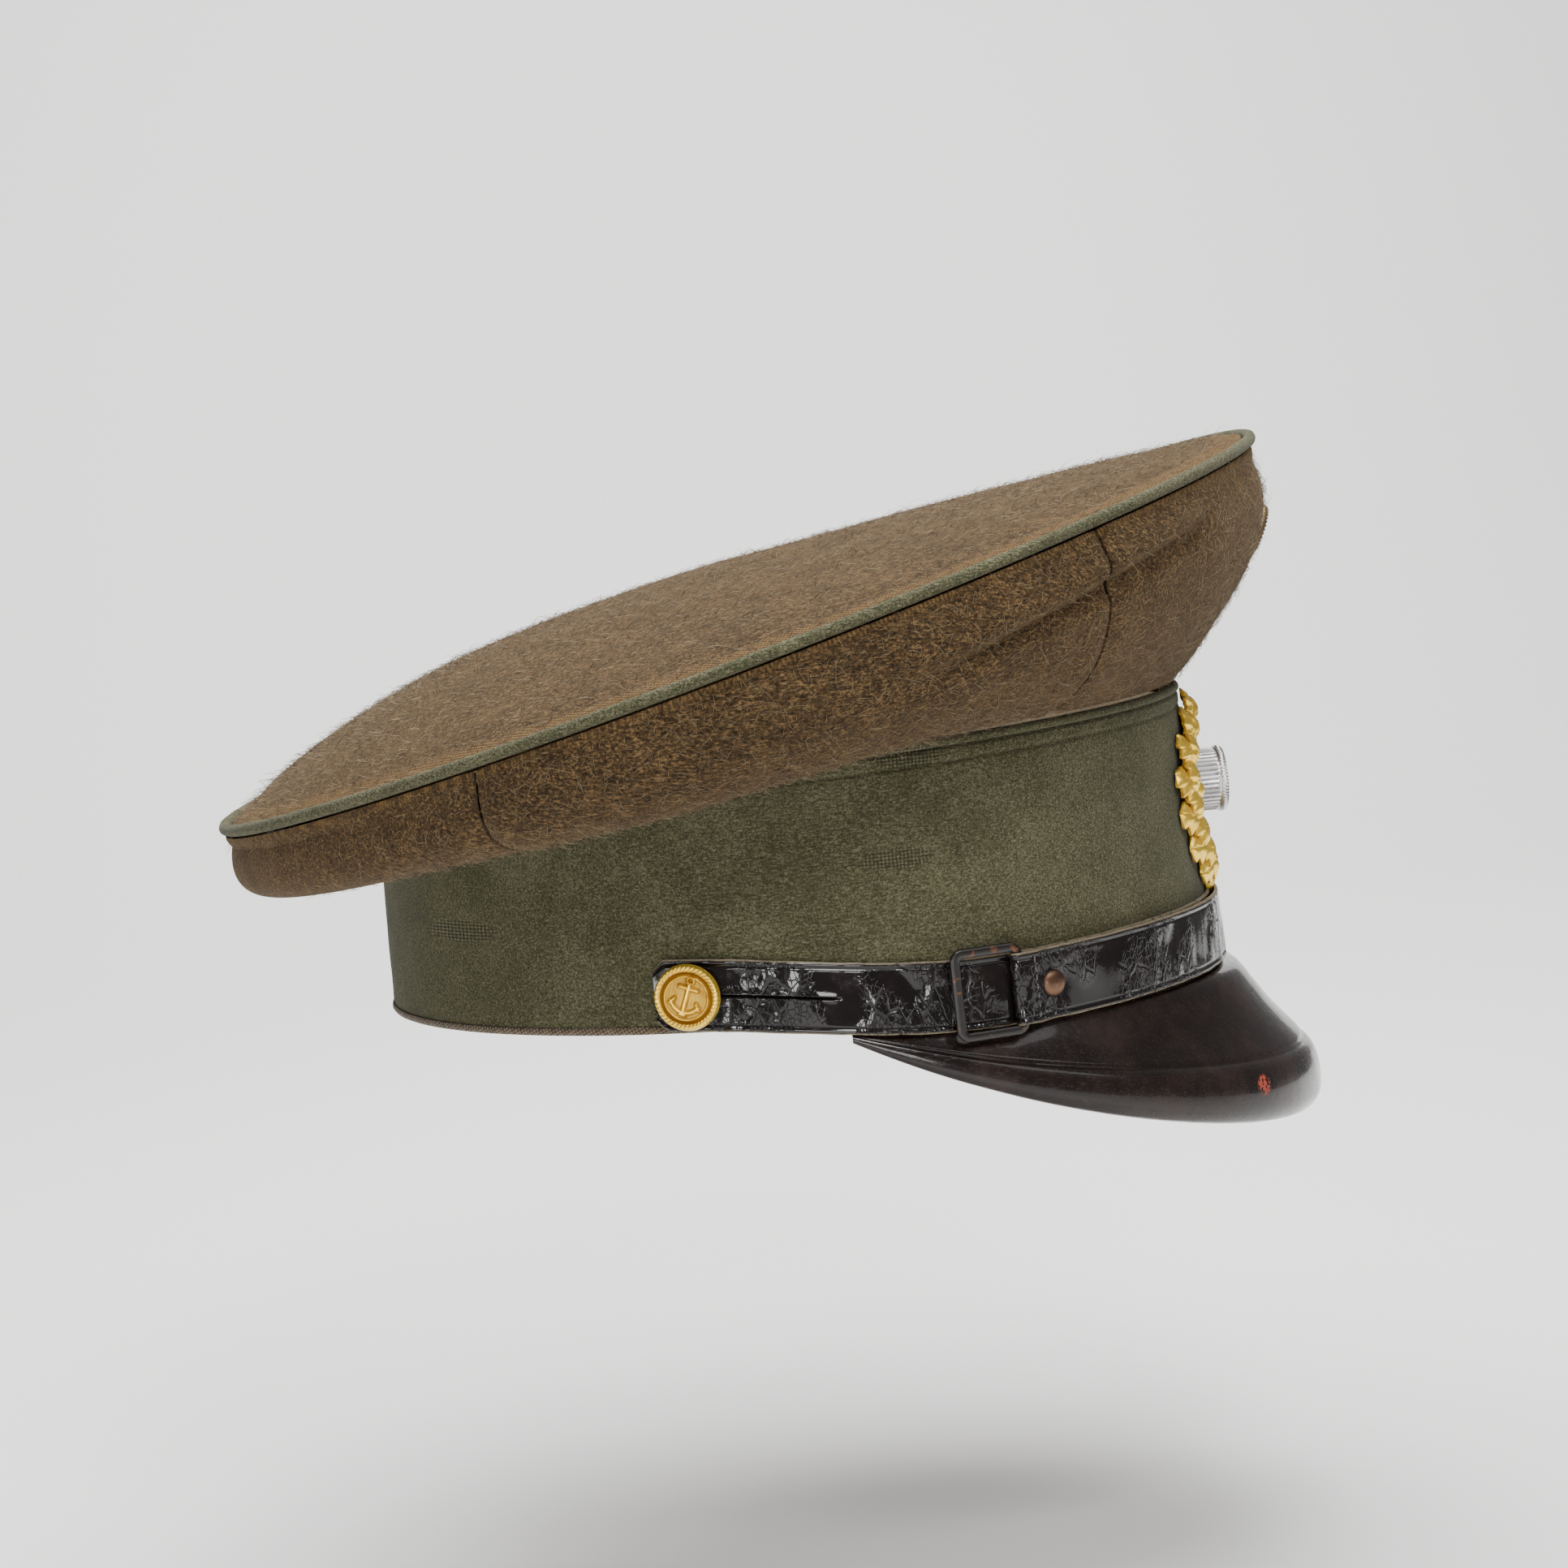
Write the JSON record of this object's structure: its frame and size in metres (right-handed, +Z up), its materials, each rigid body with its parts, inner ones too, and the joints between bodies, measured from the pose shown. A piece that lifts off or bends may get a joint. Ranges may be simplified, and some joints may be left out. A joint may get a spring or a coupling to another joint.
{
  "type": "military peaked cap",
  "caption": "Stiff peaked cap: tilted wool crown with piped edge, felt band, glossy beaded visor, two-part chin strap with slides, side buttons and a leafy badge.",
  "frame": {"origin": "middle of the head opening, on the plane of the lower rim", "axes": "+X forward over the visor, +Y to the wearer's left, +Z up out of the head"},
  "size_m": [0.2745, 0.2568, 0.1723],
  "materials": {
    "wool": "napped heathered brown-olive wool",
    "green_felt": "dense dark green felt",
    "green_piping": "green cloth over cord",
    "wire": "drawn steel",
    "ferrule": "crimped brass",
    "wadding": "cotton wadding",
    "stay": "stiffened fibre",
    "canvas": "coarse linen canvas",
    "lining": "golden brown sateen",
    "shield": "clear amber sheet",
    "fibreboard": "pressed fibre",
    "edge_cloth": "brown woven edge",
    "sweat_leather": "brown sheepskin",
    "ribbon": "dark ribbon",
    "visor_fibre": "glossy vulcanised fibre, black-brown",
    "strap_leather": "crackled patent leather",
    "rivet": "aged bronze",
    "slide_metal": "black paint worn to copper",
    "gilt": "gilt, pressed",
    "gilt_back": "gilt, plain",
    "pin_steel": "bright steel",
    "silver": "satin silver",
    "dark_enamel": "dark lacquer",
    "badge_bronze": "dull bronze"
  },
  "bodies": {
    "cap": {"crown_top": "wool", "crown_side_front": "wool", "crown_side_right": "wool", "crown_side_left": "wool", "crown_side_rear": "wool", "crown_piping": "green_piping", "crown_wire": "wire", "wire_ferrule": "ferrule", "roll_padding": "wadding", "front_stay": "stay", "top_interlining": "canvas", "lining_top": "lining", "lining_side": "lining", "moisture_shield": "shield", "cap_band": "green_felt", "band_piping": "green_piping", "band_stiffener": "fibreboard", "lower_edge_binding": "edge_cloth", "sweatband": "sweat_leather", "sweatband_seam_tape": "sweat_leather", "sweatband_bow": "ribbon", "visor_shell": "visor_fibre", "strap_right": "strap_leather", "strap_left": "strap_leather", "strap_rivet_left": "rivet", "button_washer_right": "pin_steel", "button_washer_left": "pin_steel", "wreath": "gilt", "wreath_pins": "gilt_back", "wreath_washers": "pin_steel", "cockade_cup": "silver", "cockade_dome": "dark_enamel", "top_badge": "badge_bronze", "top_badge_pins": "pin_steel", "top_badge_washers": "pin_steel"},
    "side_button_right": {"button_shell_right": "gilt", "button_shank_right": "gilt_back", "button_pin_right": "pin_steel"},
    "side_button_left": {"button_shell_left": "gilt", "button_shank_left": "gilt_back", "button_pin_left": "pin_steel"},
    "strap_slide_right": {"slide_right": "slide_metal", "strap_rivet_right": "rivet"},
    "strap_slide_left": {"slide_left": "slide_metal"}
  },
  "joints": [
    {"name": "button_right_turn", "type": "hinge", "parent": "cap", "child": "side_button_right", "pos_m": [-0.03255, -0.08295, 0.00904], "axis": [-0.26, -0.9656, 0], "continuous": true},
    {"name": "button_left_turn", "type": "hinge", "parent": "cap", "child": "side_button_left", "pos_m": [-0.03255, 0.08295, 0.00904], "axis": [-0.26, 0.9656, 0], "continuous": true},
    {"name": "slide_right_travel", "type": "hinge", "parent": "cap", "child": "strap_slide_right", "pos_m": [0.00123, 0.03255, 0.0032], "axis": [0, 0, 1], "range_deg": [-2, 5.5], "deforming": ["strap_right", "strap_left"]},
    {"name": "slide_left_travel", "type": "hinge", "parent": "cap", "child": "strap_slide_left", "pos_m": [0.00123, -0.03255, 0.0032], "axis": [0, 0, -1], "range_deg": [-2, 5.5], "deforming": ["strap_right", "strap_left"]}
  ]
}
